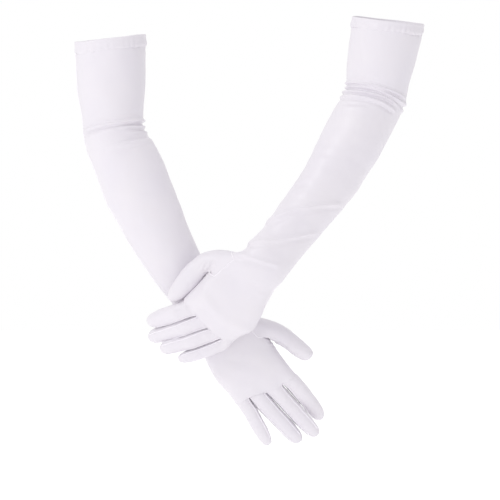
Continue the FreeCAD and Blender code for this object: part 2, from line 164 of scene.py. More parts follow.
GLOVES = {
    "right": {
        "hem_height": 13.6,
        "hem_radius": 41.0,
        "sleeve": [
            (0.08, 0.0, 40.7, 40.7), (0.27, 0.0, 40.2, 40.6), (0.44, -0.4, 39.6, 40.0),
            (0.60, -0.6, 37.9, 38.6), (0.77, -0.6, 35.6, 37.0), (1.00, 0.0, 34.6, 35.2),
            (1.135, -2.2, 37.6, 35.0), (1.245, -5.4, 39.2, 35.0), (1.38, -7.4, 37.6, 32.5),
            (1.60, -9.4, 32.4, 27.5), (1.80, -5.8, 28.4, 23.5), (1.91, -2.6, 26.8, 21.2),
        ],
        "wrist": (26.0, 19.5),
        "wrist_bend": (15, 8),
        "thumb_edge": [
            (0, 25.9), (10, 27.6), (20, 30.5), (31, 34.0), (43, 36.8), (55, 38.2), (66, 38.0),
            (77, 37.6), (89, 37.8), (100, 38.6),
        ],
        "outer_edge": [
            (0, -25.9), (9, -28.6), (18, -31.6), (27, -34.6), (37, -37.2), (47, -39.0),
            (57, -39.6), (67, -39.0), (78, -37.9), (89, -37.2),
        ],
        "creases": [
            ("elbow", "front", 3.1, 2.0, [(-39, 0), (-30, 2.6), (1, 9.4), (32, 14.9), (44, 17.4)]),
            ("elbow", "front", 1.8, 1.9, [(4.6, 4.2), (21, 7.1), (41, 7.6), (52, 7.8)]),
            ("elbow", "front", 1.5, 1.9, [(12.6, -1.6), (30, 0.7), (44, 2.5), (52, 3.5)]),
            ("elbow", "front", -1.2, 1.6, [(6, -12), (24, -7.5), (38, -4.6), (48, -3)]),
            ("elbow", "front", 1.0, 2.6, [(-12, -18), (14, -15), (36, -11), (48, -9)]),
            ("elbow", "back", 1.3, 2.4, [(-30, 6), (0, 2), (40, 9)]),
            ("elbow", "back", 1.1, 2.4, [(-28, -6), (0, -9), (40, -2)]),
        ],
        "knuckles": (1.4, 84, 8),
        "gather": (60, 38.5),
        "thumb_rows": (1, 4),
        "thumb_rings": [
            ((60.0, 39.5), (26.5, 44.0), 13.0),
            ((66.0, 43.0), (44.5, 57.0), 11.6),
            ((75.5, 46.6), (62.0, 64.2), 10.4),
            ((86.0, 49.2), (79.0, 67.8), 9.8),
            ((96.0, 53.2), (91.5, 71.0), 9.2),
        ],
        "fingers": {
            "index": (0.0, 1.4, 9.6, 9.75, 9.0, 8.0),
            "middle": (-1.0, -0.4, 9.95, 9.6, 9.1, 8.2),
            "ring": (-1.7, -1.0, 9.95, 9.65, 9.2, 8.2),
            "little": (0.6, 2.0, 8.1, 8.1, 7.8, 7.0),
        },
        "tip_extra": {"index": (1.5, 0), "middle": (2.8, 0), "ring": (3.0, 0), "little": (2.0, 0)},
        "web_back": {"index_middle": 20.5, "middle_ring": 20.5, "ring_little": 21.0},
    },
    "left": {
        "hem_height": 11.8,
        "hem_radius": 41.5,
        "sleeve": [
            (0.085, 0.0, 41.2, 41.2), (0.30, 0.0, 40.4, 40.8), (0.50, 0.3, 38.8, 39.4),
            (0.72, 0.4, 36.8, 37.6), (1.00, 0.0, 35.0, 35.6),
            (1.123, -2.6, 35.8, 34.5), (1.2326, -5.8, 36.0, 33.4), (1.348, -7.4, 34.0, 30.5),
            (1.46, -9.4, 32.3, 28.5), (1.582, -8.7, 30.4, 26.4), (1.708, -6.4, 28.8, 24.2),
            (1.87, -3.0, 27.2, 21.5),
        ],
        "wrist": (28.6, 19.5),
        "wrist_bend": (24, 7),
        "thumb_edge": [
            (0, 31.5), (9, 36.0), (19, 39.0), (29, 41.6), (39, 43.4), (49, 43.2), (58, 43.2),
            (67, 43.8), (76, 44.6), (85, 45.6),
        ],
        "outer_edge": [
            (0, -25.8), (9, -26.6), (19, -28.2), (29, -30.2), (40, -32.6), (50, -34.8),
            (60, -36.0), (70, -35.6), (80, -33.4), (89, -30.0),
        ],
        "creases": [
            ("elbow", "front", 2.4, 1.7, [(-52, 22), (-37, 18.4), (-6, 12.5), (27, 2.0), (38, -2.5)]),
            ("elbow", "front", 2.4, 1.7, [(-52, 14), (-37, 12.8), (-1.6, 7.6), (32, -7.4), (44, -13)]),
            ("elbow", "front", 2.3, 1.6, [(-54, 6.4), (-39, 6.6), (-8, 3.0), (11.5, -2.4), (28, -11.6)]),
            ("elbow", "front", 2.4, 1.8, [(-54, 0.4), (-39, 0.8), (-10, -3.0), (7, -8.6), (25, -18.8)]),
            ("elbow", "front", -1.0, 2.0, [(-42, -9), (-20, -9.6), (-4, -12)]),
            ("elbow", "back", 1.5, 2.4, [(-46, 6), (0, 2), (44, -8)]),
            ("elbow", "back", 1.3, 2.4, [(-46, -4), (0, -8), (42, -18)]),
            ("wrist", "front", 1.1, 2.2, [(34, 93), (44, 95.8), (58, 98.5)]),
            ("wrist", "front", 1.7, 2.5, [(-2, 45), (13, 54), (36, 63.3), (77, 69.6), (94, 71)]),
            ("wrist", "front", 1.7, 2.3, [(-43, 19), (-37, 20.1), (-17, 25.8), (19, 29.9), (64, 38.5)]),
            ("wrist", "front", 1.5, 2.3, [(-34, 15.6), (-23, 13.2), (-2, 6.9), (22, 0)]),
            ("wrist", "front", 0.8, 2.4, [(-16, -16.6), (-6, -18), (5, -20)]),
            ("wrist", "front", 0.8, 2.4, [(-12, -29), (-4, -30.6), (5, -32)]),
            ("wrist", "front", 2.0, 1.5, [(-49, 11), (-59, -7)]),
            ("wrist", "front", 2.0, 1.5, [(-56, 10), (-65, -7)]),
            ("wrist", "front", 1.8, 1.5, [(-62, 8), (-71, -8)]),
            ("wrist", "back", 1.2, 3.0, [(-40, 20), (0, 34), (50, 40)]),
        ],
        "knuckles": (6.0, 70, 9),
        "gather": (46, 42.0),
        "thumb_rows": (1, 4),
        "thumb_rings": [
            ((48.0, 42.6), (20.0, 51.0), 14.0),
            ((56.0, 40.2), (36.0, 62.0), 13.0),
            ((67.0, 40.4), (55.0, 66.8), 11.8),
            ((81.0, 42.6), (76.0, 66.6), 10.8),
            ((94.5, 47.4), (93.5, 64.0), 9.8),
        ],
        "fingers": {
            "index": (1.2, 1.0, 9.9, 9.9, 9.3, 8.2),
            "middle": (0.2, 0.2, 9.6, 9.6, 9.2, 8.2),
            "ring": (-0.2, 0.2, 9.2, 9.2, 8.8, 7.9),
            "little": (1.2, 1.4, 7.6, 7.5, 7.2, 6.6),
        },
        "tip_extra": {
            "index": (0.5, 0), "middle": (2.5, -2.2), "ring": (-4.6, -1.6), "little": (-5.5, 1.8),
        },
        "web_back": {"index_middle": 21.0, "middle_ring": 23.0, "ring_little": 24.0},
    },
}
FINGERS = ["index", "middle", "ring", "little"]
WEB_COLUMNS = {"index_middle": (3, 17), "middle_ring": (5, 15), "ring_little": (7, 13)}
FINGER_COLUMNS = {  # cage columns round each finger, from its thumb side over the back
    "index": [0, 1, 2, 3, "index_middle", 17, 18, 19],
    "middle": ["index_middle", 3, 4, 5, "middle_ring", 15, 16, 17],
    "ring": ["middle_ring", 5, 6, 7, "ring_little", 13, 14, 15],
    "little": ["ring_little", 7, 8, 9, 10, 11, 12, 13],
}


def put(name, data):
    """A new object in the scene."""
    obj = bpy.data.objects.new(name, data)
    bpy.context.scene.collection.objects.link(obj)
    return obj


# ---- vectors ----
def unit(v):
    v = np.asarray(v, float)
    return v / np.linalg.norm(v)


def unit_rows(rows):
    return rows / np.maximum(np.linalg.norm(rows, axis=1), 1e-9)[:, None]


def square_to(v, normal):
    """The part of v square to normal, as a unit vector."""
    n = unit(normal)
    v = np.asarray(v, float)
    return unit(v - n * (v @ n))


def eased(t):
    t = np.clip(t, 0.0, 1.0)
    return t * t * (3 - 2 * t)


def curve_through(at, rows, where):
    """Values of a smooth curve through rows, which lie at the places in at."""
    at, rows, where = np.asarray(at, float), np.asarray(rows, float), np.asarray(where, float)
    slope = np.gradient(rows, at, axis=0)
    i = np.clip(np.searchsorted(at, where, side="right") - 1, 0, len(at) - 2)
    h = (at[i + 1] - at[i])[:, None]
    t = ((where - at[i]) / (at[i + 1] - at[i]))[:, None]
    return (
        rows[i] * (2 * t**3 - 3 * t**2 + 1) + slope[i] * h * (t**3 - 2 * t**2 + t)
        + rows[i + 1] * (3 * t**2 - 2 * t**3) + slope[i + 1] * h * (t**3 - t**2)
    )


def turns(count):
    """Equal angles once round."""
    return np.arange(count) * TURN / count


def path_lengths(points):
    """Length along a path up to each of its points."""
    return np.concatenate([[0], np.cumsum(np.linalg.norm(np.diff(points, axis=0), axis=1))])


def smooth_normals(points, quads):
    a, b, c, d = (points[quads[:, i]] for i in range(4))
    face = np.cross(c - a, d - b)
    total = np.zeros_like(points)
    for i in range(4):
        np.add.at(total, quads[:, i], face)
    return unit_rows(total)


def node_points(node):
    """Points of a CAD node, in millimetres."""
    return np.array([v.co for v in frame["nodes"][node].data.vertices]) / MM


class Pose:
    """Places and directions of one glove, from the frame."""

    def __init__(self, side):
        def joint(name):
            return np.array(joints[f"{side}_{name}"]["pos_m"]) / MM

        self.side = side
        self.size = GLOVES[side]
        mount = mounts[f"{side}_arm_opening"]
        self.opening = np.array(mount["pos_m"]) / MM
        self.hem_down = -unit(mount["axis"])
        self.elbow = joint("elbow_fold")
        self.wrist = joint("wrist_fold")
        self.root = {f: joint(f"{f}_knuckle") for f in FINGERS}
        self.middle = {f: joint(f"{f}_middle_bend") for f in FINGERS}
        self.root["thumb"] = joint("thumb_root")
        self.middle["thumb"] = joint("thumb_middle_bend")
        self.tip = {}
        for f in FINGERS + ["thumb"]:
            points = node_points(f"{side}_{f}_tip")
            far = np.linalg.norm(points - self.middle[f], axis=1)
            self.tip[f] = points[far > far.max() - TIP_CAP].mean(axis=0)
        self.knuckle_line = unit(self.root["index"] - self.root["little"])
        centre = (self.root["index"] + self.root["little"]) / 2
        self.palm_along = unit(centre - self.wrist)
        self.across = square_to(self.knuckle_line, self.palm_along)
        back = np.cross(self.palm_along, self.across)
        self.handed = 1.0 if back @ VIEWER > 0 else -1.0
        self.back = back * self.handed

    def side_and_back(self, along):
        """Directions to the thumb side and to the back, square to a direction along the glove."""
        side = square_to(self.knuckle_line, along)
        return side, np.cross(along, side) * self.handed

    def hand_point(self, along, sideways, deep=0.0):
        return self.wrist + self.palm_along * along + self.across * sideways + self.back * deep


def oval_ring(centre, side, back, half_width, half_depth, flatness):
    """A ring of the sleeve or hand: flatness 0 is round, 1 is a flat hand."""
    angles = turns(RING)
    x = (1 - flatness) * np.cos(angles) + flatness * np.array(FLAT_X + FLAT_X[-2:0:-1])
    y = (1 - flatness) * np.sin(angles) + flatness * np.array(FLAT_Y + [-v for v in FLAT_Y[-2:0:-1]])
    return centre + (np.outer(x, side) * half_width + np.outer(y, back) * half_depth) / RING_SHRINK


# ---- the cage: a coarse mesh that subdivision turns into smooth fabric ----
class Cage:
    def __init__(self):
        self.points = []
        self.faces = []
        self.labels = []
        self.columns = []

    def add(self, rows):
        first = len(self.points)
        self.points.extend(np.asarray(rows, float))
        return list(range(first, first + len(rows)))

    def face(self, corners, label, column=0):
        self.faces.append(corners)
        self.labels.append(label)
        self.columns.append(column)

    def bridge(self, a, b, label):
        """Quads between two closed loops with the same number of points."""
        n = len(a)
        for i in range(n):
            self.face([a[i], a[(i + 1) % n], b[(i + 1) % n], b[i]], label, i)


LABELS = ["sleeve_back", "sleeve_palm", "hand_back", "hand_palm", "thumb_base", "thumb_tip"]
LABELS += [f"{f}_{part}" for f in FINGERS for part in ("base", "tip")]


def arm_rings(pose):
    """Rings of the sleeve from under the hem to the wrist."""
    size = pose.size
    rows = []
    upper, lower = pose.elbow - pose.opening, pose.wrist - pose.elbow
    for place, sideways, half_width, half_depth in size["sleeve"]:
        if place <= 1:
            start, step, t = pose.opening, upper, place
        else:
            start, step, t = pose.elbow, lower, place - 1
        side = square_to(square_to(pose.across, VIEWER), step)
        rows.append([*(start + step * t + side * sideways), half_width, half_depth])
    rows.append([*pose.wrist, *size["wrist"]])
    rows.append([*pose.hand_point(PAST_WRIST, 0), *size["wrist"]])
    rows = np.array(rows)
    lengths = path_lengths(rows[:, :3])
    wrist_at = lengths[-2]
    elbow_at = lengths[[row[0] for row in size["sleeve"]].index(1.0)]
    stops = [0, elbow_at - ELBOW_CREASED[0], elbow_at + ELBOW_CREASED[1], wrist_at]
    steps = [SLEEVE_STEP, ELBOW_STEP, SLEEVE_STEP]
    parts = [
        np.linspace(a, b, int(round((b - a) / step)), endpoint=False)
        for a, b, step in zip(stops, stops[1:], steps)
    ]
    where = np.concatenate(parts + [[wrist_at]])
    at = curve_through(lengths, rows, where)
    before = curve_through(lengths, rows, np.clip(where - BEND_REACH, 0, None))
    after = curve_through(lengths, rows, where + BEND_REACH)
    follows_arm = eased(where / HEM_TURN)
    flatness = WRIST_FLATNESS * eased((where - wrist_at + WRIST_TAPER) / WRIST_TAPER)
    rings = []
    for i in range(len(where)):
        along = unit(after[i, :3] - before[i, :3])
        along = unit(pose.hem_down * (1 - follows_arm[i]) + along * follows_arm[i])
        side, back = pose.side_and_back(along)
        rings.append(oval_ring(at[i, :3], side, back, at[i, 3], at[i, 4], flatness[i]))
    return rings


def hand_rings(pose):
    """Rings of the hand between its thumb edge and its outer edge, the wrist's own left out."""
    size = pose.size
    rings = []
    for i in range(1, len(size["thumb_edge"])):
        a, b = pose.hand_point(*size["thumb_edge"][i]), pose.hand_point(*size["outer_edge"][i])
        side = unit(a - b)
        back = square_to(pose.back, side)
        flatness = WRIST_FLATNESS + (1 - WRIST_FLATNESS) * eased(i / FLAT_RING)
        half_width = np.linalg.norm(a - b) / 2
        rings.append(oval_ring((a + b) / 2, side, back, half_width, HAND_DEPTH[i], flatness))
    return rings


def finger_line(pose, name, root_shift, middle_shift):
    """Smooth line of a finger, as a function, and its tip's distance past the middle joint."""
    middle, tip = pose.middle[name], pose.tip[name]
    first = unit(middle - pose.root[name])
    second = unit(tip - middle)
    side = square_to(pose.knuckle_line, first)
    longer, tip_shift = pose.size["tip_extra"][name]
    reach = np.linalg.norm(tip - middle) + longer

    def at(d):
        """Point and direction at d millimetres past the middle joint."""
        w = eased((d + DIGIT_BEND) / (2 * DIGIT_BEND))
        straight = middle + first * d
        bent = middle + second * d
        shift = float(np.interp(d, [-20, 0, reach], [root_shift, middle_shift, tip_shift]))
        return straight * (1 - w) + bent * w + side * shift, unit(first * (1 - w) + second * w)

    return at, reach


def build_cage(pose):
    cage = Cage()
    arm = arm_rings(pose)
    rings = [cage.add(r) for r in arm + hand_rings(pose)]
    # the sleeve piece ends halfway down the forearm
    elbow_ring = min(range(len(arm)), key=lambda i: np.linalg.norm(np.mean(arm[i], axis=0) - pose.elbow))
    split = (elbow_ring + len(arm)) // 2
    row_a, row_b = (len(arm) - 1 + row for row in pose.size["thumb_rows"])
    for i in range(len(rings) - 1):
        part = "sleeve" if i < split else "hand"
        for k in range(RING):
            if row_a <= i < row_b and k in THUMB_COLUMNS[:-1]:
                continue
            n = (k + 1) % RING
            half = "back" if k < RING // 2 else "palm"
            cage.face([rings[i][k], rings[i][n], rings[i + 1][n], rings[i + 1][k]], f"{part}_{half}", k)
    add_fingers(cage, pose, rings[-1])
    loop = [rings[row_a][k] for k in reversed(THUMB_COLUMNS)]
    loop += [rings[i][THUMB_COLUMNS[0]] for i in range(row_a + 1, row_b)]
    loop += [rings[row_b][k] for k in THUMB_COLUMNS]
    loop += [rings[i][THUMB_COLUMNS[-1]] for i in range(row_b - 1, row_a, -1)]
    add_thumb(cage, pose, loop)
    return cage


def web_points(cage, pose):
    """For each web: its cage point, its place, and the direction of the fingers beside it."""
    webs = {}
    for name, behind in pose.size["web_back"].items():
        pair = name.split("_")
        along = unit(sum(unit(pose.middle[f] - pose.root[f]) for f in pair))
        shift = sum(pose.size["fingers"][f][0] for f in pair) / 2
        spot = sum(pose.middle[f] for f in pair) / 2 - along * behind
        spot = spot + square_to(pose.knuckle_line, along) * shift
        webs[name] = (cage.add([spot])[0], spot, along)
    return webs


def web_row(pose, webs):
    """The last row of the hand: low beside the webs, higher across each finger."""
    row = {}
    for name, columns in WEB_COLUMNS.items():
        _, spot, along = webs[name]
        for k, sign in zip(columns, (1, -1)):
            row[k] = spot - along * WEB_SETBACK + pose.back * WEB_DEPTH * WEB_LIFT * sign
    for k, (one, other) in {4: (3, 5), 6: (5, 7), 16: (17, 15), 14: (15, 13)}.items():
        sign = 1 if k < RING // 2 else -1
        row[k] = (row[one] + row[other]) / 2 + pose.back * WEB_DEPTH * FINGER_LIFT * sign
    row[0] = pose.hand_point(*pose.size["thumb_edge"][-1]) + webs["index_middle"][2] * WEB_EDGE
    row[10] = pose.hand_point(*pose.size["outer_edge"][-1]) + webs["ring_little"][2] * WEB_EDGE
    # columns between an edge of the hand and the web nearest to it
    for start, near, far, end in ((0, 1, 2, 3), (0, 19, 18, 17), (10, 9, 8, 7), (10, 11, 12, 13)):
        sign = 1 if near < RING // 2 else -1
        for k, (t, lift) in zip((near, far), EDGE_COLUMNS):
            p = row[start] * (1 - t) + row[end] * t
            p = p + pose.back * ((row[start] - p) @ pose.back)
            row[k] = p + pose.back * WEB_DEPTH * lift * sign
    return row


def add_fingers(cage, pose, last):
    """The row of webs, then a tube for each finger."""
    webs = web_points(cage, pose)
    places = web_row(pose, webs)
    row = cage.add([places[k] for k in range(RING)])
    for k in range(RING):
        n = (k + 1) % RING
        half = "back" if k < RING // 2 else "palm"
        cage.face([last[k], last[n], row[n], row[k]], f"hand_{half}", k)
    after = {}
    for f in FINGERS:
        root_shift, middle_shift, *radii = pose.size["fingers"][f]
        at, reach = finger_line(pose, f, root_shift, middle_shift)
        loop = [row[c] if isinstance(c, int) else webs[c][0] for c in FINGER_COLUMNS[f]]
        first = unit(pose.middle[f] - pose.root[f])
        web = (np.mean([cage.points[i] for i in loop], axis=0) - pose.middle[f]) @ first
        stops = [web + d for d in RINGS_PAST_WEB] + list(RINGS_PAST_JOINT)
        stops = [d for d in stops if d < reach - RINGS_BEFORE_TIP[0] - 1]
        stops = sorted({round(d, 3) for d in stops + [reach - d for d in RINGS_BEFORE_TIP]})
        known_at = [web, 0.0, reach * TIP_HALFWAY, reach - RINGS_BEFORE_TIP[-1]]
        angles = turns(FINGER_SIDES)
        previous, label = loop, "base"
        for d in stops:
            centre, along = at(d)
            side, back = pose.side_and_back(along)
            r = float(np.interp(d, known_at, radii)) / FINGER_SHRINK
            if d == stops[-1]:
                r *= LAST_RING
            boxy = r * np.array([1, CORNER] * (FINGER_SIDES // 2))
            width, height = np.outer(np.cos(angles) * boxy, side), np.outer(np.sin(angles) * boxy, back)
            current = cage.add(centre + width + height)
            if d == stops[0]:
                for c, i in zip(FINGER_COLUMNS[f], current):
                    after.setdefault(c, []).append(i)
            cage.bridge(previous, current, f"{f}_{label}")
            previous = current
            if d >= web + BASE_END:
                label = "tip"
        close_tip(cage, at, reach, radii[-1], pose, previous, f"{f}_tip")
    # the hand runs into the fingers without a ledge
    for k in range(RING):
        before = cage.points[last[k]]
        step = np.mean([cage.points[i] for i in after[k]], axis=0) - before
        here = cage.points[row[k]]
        smooth = before + step * np.clip((here - before) @ step / (step @ step), 0.3, 0.7)
        if k in sum(WEB_COLUMNS.values(), ()):
            smooth = here + pose.back * ((smooth - here) @ pose.back) * 0.5
        cage.points[row[k]] = here * (1 - WEB_SMOOTHING) + smooth * WEB_SMOOTHING


def close_tip(cage, at, reach, r, pose, previous, label):
    """A small ring and a centre point round off a finger's end."""
    centre, along = at(reach - 0.4)
    side, back = pose.side_and_back(along)
    angles = turns(FINGER_SIDES)
    ring = centre + (np.outer(np.cos(angles), side) + np.outer(np.sin(angles), back)) * r * END_RING
    current = cage.add(ring)
    cage.bridge(previous, current, label)
    middle = cage.add([centre + along * 0.9])[0]
    for i in range(0, FINGER_SIDES, 2):
        cage.face([current[i], current[i + 1], current[(i + 2) % FINGER_SIDES], middle], label)


def add_thumb(cage, pose, loop):
    previous = loop
    # places round the thumb: 90 degrees faces back up the arm, 180 the palm, 270 the fingers, 0 the back
    angles = (np.arange(THUMB_SIDES) + 1.5) * TURN / THUMB_SIDES
    line = [pose.root["thumb"], pose.middle["thumb"], pose.tip["thumb"]]
    deep = [(p - pose.wrist) @ pose.back for p in line]
    along_at = [(p - pose.wrist) @ pose.palm_along for p in line]
    rows = [(np.array(a), np.array(b), depth) for a, b, depth in pose.size["thumb_rings"]]
    inner, outer, depth = rows[-1]
    forward = unit((inner + outer) / 2 - (rows[-2][0] + rows[-2][1]) / 2) * THUMB_TIP_LENGTH
    inset = (1 - THUMB_TIP_WIDTH) / 2
    tip_inner, tip_outer = inner * (1 - inset) + outer * inset, inner * inset + outer * (1 - inset)
    rows.append((tip_inner + forward, tip_outer + forward, depth * END_RING))
    for i, (a, b, half_depth) in enumerate(rows):
        centre = (a + b) / 2
        c = pose.hand_point(*centre, float(np.interp(centre[0], along_at, deep)))
        outward = unit(pose.palm_along * (b - a)[0] + pose.across * (b - a)[1])
        width = np.outer(np.sin(angles), outward) * np.linalg.norm(b - a) / 2
        current = cage.add(c + (width + np.outer(np.cos(angles), pose.back) * half_depth) / THUMB_SHRINK)
        cage.bridge(previous, current, "thumb_base" if i < THUMB_BASE_RINGS else "thumb_tip")
        previous = current
    # two inner points, towards the two sides, close the end with quads
    p = previous
    centre = np.mean([cage.points[i] for i in p], axis=0)
    forward = unit(pose.tip["thumb"] - pose.middle["thumb"]) * 1.2
    top, low = cage.add([centre + forward + (cage.points[p[i]] - centre) * 0.35 for i in (2, 9)])
    for corners in (
        [p[0], p[1], p[2], top], [p[2], p[3], p[4], top], [p[4], p[5], low, top],
        [p[5], p[6], p[7], low], [p[7], p[8], p[9], low], [p[9], p[10], p[11], low],
        [p[11], p[12], top, low], [p[12], p[13], p[0], top],
    ):
        cage.face(corners, "thumb_tip")


# ---- from cage to fabric ----
class Fabric:
    """The cage after subdivision: points, quads, and a label and a cage column for each quad."""

    def __init__(self, cage, name):
        mesh = bpy.data.meshes.new(name)
        mesh.from_pydata([tuple(p) for p in cage.points], [], cage.faces)
        parts = [LABELS.index(x) for x in cage.labels]
        for attribute, values in (("part", parts), ("column", cage.columns)):
            mesh.attributes.new(attribute, "INT", "FACE").data.foreach_set("value", values)
        work = bmesh.new()
        work.from_mesh(mesh)
        bmesh.ops.recalc_face_normals(work, faces=work.faces)
        work.to_mesh(mesh)
        work.free()
        obj = put(name, mesh)
        modifier = obj.modifiers.new("smooth", "SUBSURF")
        modifier.levels = modifier.render_levels = SMOOTHING
        evaluated = obj.evaluated_get(bpy.context.evaluated_depsgraph_get())
        result = evaluated.to_mesh()
        points = np.zeros(len(result.vertices) * 3)
        result.vertices.foreach_get("co", points)
        corners = np.zeros(len(result.loops), int)
        result.loops.foreach_get("vertex_index", corners)
        self.points = points.reshape(-1, 3)
        self.quads = corners.reshape(-1, 4)
        self.part, self.column = (np.zeros(len(self.quads), int) for _ in range(2))
        result.attributes["part"].data.foreach_get("value", self.part)
        result.attributes["column"].data.foreach_get("value", self.column)
        evaluated.to_mesh_clear()
        bpy.data.objects.remove(obj)
        self.find_normals()

    def find_normals(self):
        self.normals = smooth_normals(self.points, self.quads)

    def of(self, *labels):
        return np.isin(self.part, [LABELS.index(x) for x in labels])

    def shared(self, one, other):
        """Points on the line between two sets of quads."""
        return np.intersect1d(self.quads[one], self.quads[other])


def rim_edges(quads):
    """The edges that belong to one quad only, as pairs of points in the quad's own order."""
    edges = np.concatenate([quads[:, [i, (i + 1) % 4]] for i in range(4)])
    low, high = np.sort(edges, axis=1).T
    _, first, count = np.unique(low * (high.max() + 1) + high, return_index=True, return_counts=True)
    return edges[first[count == 1]]


class Mesh:
    """Points, faces and normals collected for one piece, in millimetres."""

    def __init__(self):
        self.points, self.faces, self.normals, self.slots = [], [], [], []
        self.count = 0

    def add(self, points, faces, normals, slot=0):
        self.points.append(np.asarray(points))
        self.normals.append(np.asarray(normals))
        self.faces.extend((np.asarray(faces) + self.count).tolist())
        self.slots.extend([slot] * len(faces))
        self.count += len(points)

    def add_cloth(self, points, quads, normals):
        """The fabric with its thickness: outer face, inner face and the rim between them."""
        used, local = np.unique(quads, return_inverse=True)
        local = local.reshape(-1, 4)
        outer, facing, n = points[used], normals[used], len(used)
        rim = rim_edges(local)
        sides = np.stack([rim[:, 1], rim[:, 0], rim[:, 0] + n, rim[:, 1] + n], axis=1)
        both = np.concatenate([outer, outer - facing * FABRIC])
        faces = np.concatenate([local, local[:, ::-1] + n, sides])
        self.add(both, faces, np.concatenate([facing, -facing]))

    def add_cord(self, line, facing, seam, tapered=False):
        """A sewn line: a thin round thread lying along the fabric, tapered where it ends."""
        radius, lift = seam
        across = unit_rows(np.cross(unit_rows(np.gradient(line, axis=0)), facing))
        n = len(line)
        size = np.full((n, 1), radius)
        if tapered:
            size[:, 0] *= np.minimum(1, np.arange(n)[::-1] / 2 + 0.15)
        out = [facing * math.sin(a) + across * math.cos(a) for a in turns(CORD_SIDES)]
        rings = [line + facing * lift + o * size for o in out]
        faces = []
        for i in range(CORD_SIDES):
            j = (i + 1) % CORD_SIDES
            faces += [[i * n + k, i * n + k + 1, j * n + k + 1, j * n + k] for k in range(n - 1)]
        self.add(np.concatenate(rings), faces, np.concatenate(out), slot=1)

    def build(self, name, materials):
        mesh = bpy.data.meshes.new(name)
        mesh.from_pydata((np.concatenate(self.points) * MM).tolist(), [], self.faces)
        for material in materials:
            mesh.materials.append(material)
        mesh.polygons.foreach_set("use_smooth", [True] * len(mesh.polygons))
        mesh.polygons.foreach_set("material_index", self.slots)
        mesh.normals_split_custom_set_from_vertices(np.concatenate(self.normals).tolist())
        return put(name, mesh)


# ---- folds and puckers ----
def ripple(points, wavelength, seed):
    """Smooth random height between about -1 and 1."""
    rng = np.random.default_rng(seed)
    total = np.zeros(len(points))
    waves = 18
    for _ in range(waves):
        direction = unit(rng.normal(size=3))
        number = TURN / wavelength * rng.uniform(0.6, 1.5)
        total += np.sin(points @ direction * number + rng.uniform(0, TURN))
    return total / math.sqrt(waves / 2) / 1.6


def pucker(angle, side):
    """Small gathers round a stitched edge."""
    rng = np.random.default_rng({"right": 5, "left": 9}[side])
    total = np.zeros_like(angle)
    for _ in range(14):
        total += np.sin(angle * rng.integers(9, 44) + rng.uniform(0, TURN)) * rng.uniform(0.4, 1.0)
    return total / 3.4


def nearest(points, line):
    """For each point, the number of the line's nearest point."""
    found = np.zeros(len(points), int)
    for i in range(0, len(points), BATCH):
        gap = points[i:i + BATCH, None, :] - line[None]
        found[i:i + BATCH] = np.argmin(np.einsum("ijk,ijk->ij", gap, gap), axis=1)
    return found


class SleeveLine:
    """Length along the sleeve and angle round it for any point near it."""

    def __init__(self, pose):
        rings = arm_rings(pose) + hand_rings(pose)
        centres = np.array([r.mean(axis=0) for r in rings])
        sides = np.array([unit(r[0] - r[10]) for r in rings])
        backs = np.array([unit(r[5] - r[15]) for r in rings])
        lengths = path_lengths(centres)
        self.at = np.arange(0, lengths[-1], 1.0)
        table = np.concatenate([centres, sides, backs], axis=1)
        table = curve_through(lengths, table, self.at)
        self.centre, self.side, self.back = table[:, :3], table[:, 3:6], table[:, 6:]
        self.elbow = nearest(pose.elbow[None], self.centre)[0]

    def places(self, points):
        """Length, with the part of a step that is left over, and angle in degrees."""
        i = nearest(points, self.centre)
        along = unit_rows(np.gradient(self.centre, axis=0)[i])
        gap = points - self.centre[i]
        extra = np.clip(np.einsum("ij,ij->i", gap, along), -4, 4)
        x = np.einsum("ij,ij->i", gap, self.side[i])
        y = np.einsum("ij,ij->i", gap, self.back[i])
        return self.at[i] + extra, np.degrees(np.arctan2(y, x))


def crease_height(points, normals, joint, face, height, width, path):
    """A ridge with a soft groove under it, along a path on one face of the sleeve."""
    path = np.array(path, float)
    lengths = path_lengths(path)
    where = np.arange(0, lengths[-1], 0.8)
    curve = curve_through(lengths, path, where)
    tangent = unit_rows(np.gradient(curve, axis=0))
    place = (points - joint)[:, [0, 2]]
    near = nearest(place, curve)
    gap = place - curve[near]
    below = (tangent[near, 1] * gap[:, 0] - tangent[near, 0] * gap[:, 1]) / width
    beyond = np.abs(np.einsum("ij,ij->i", gap, tangent[near])) / width
    ends = eased(where[near] / CREASE_FADE) * eased((lengths[-1] - where[near]) / CREASE_FADE)
    facing = normals @ VIEWER * (1 if face == "front" else -1)
    bump = np.exp(-below**2) - 0.45 * np.exp(-((below - 1.9) / 1.1) ** 2)
    return height * bump * np.exp(-beyond**2) * ends * eased((facing + 0.6) / 0.5)


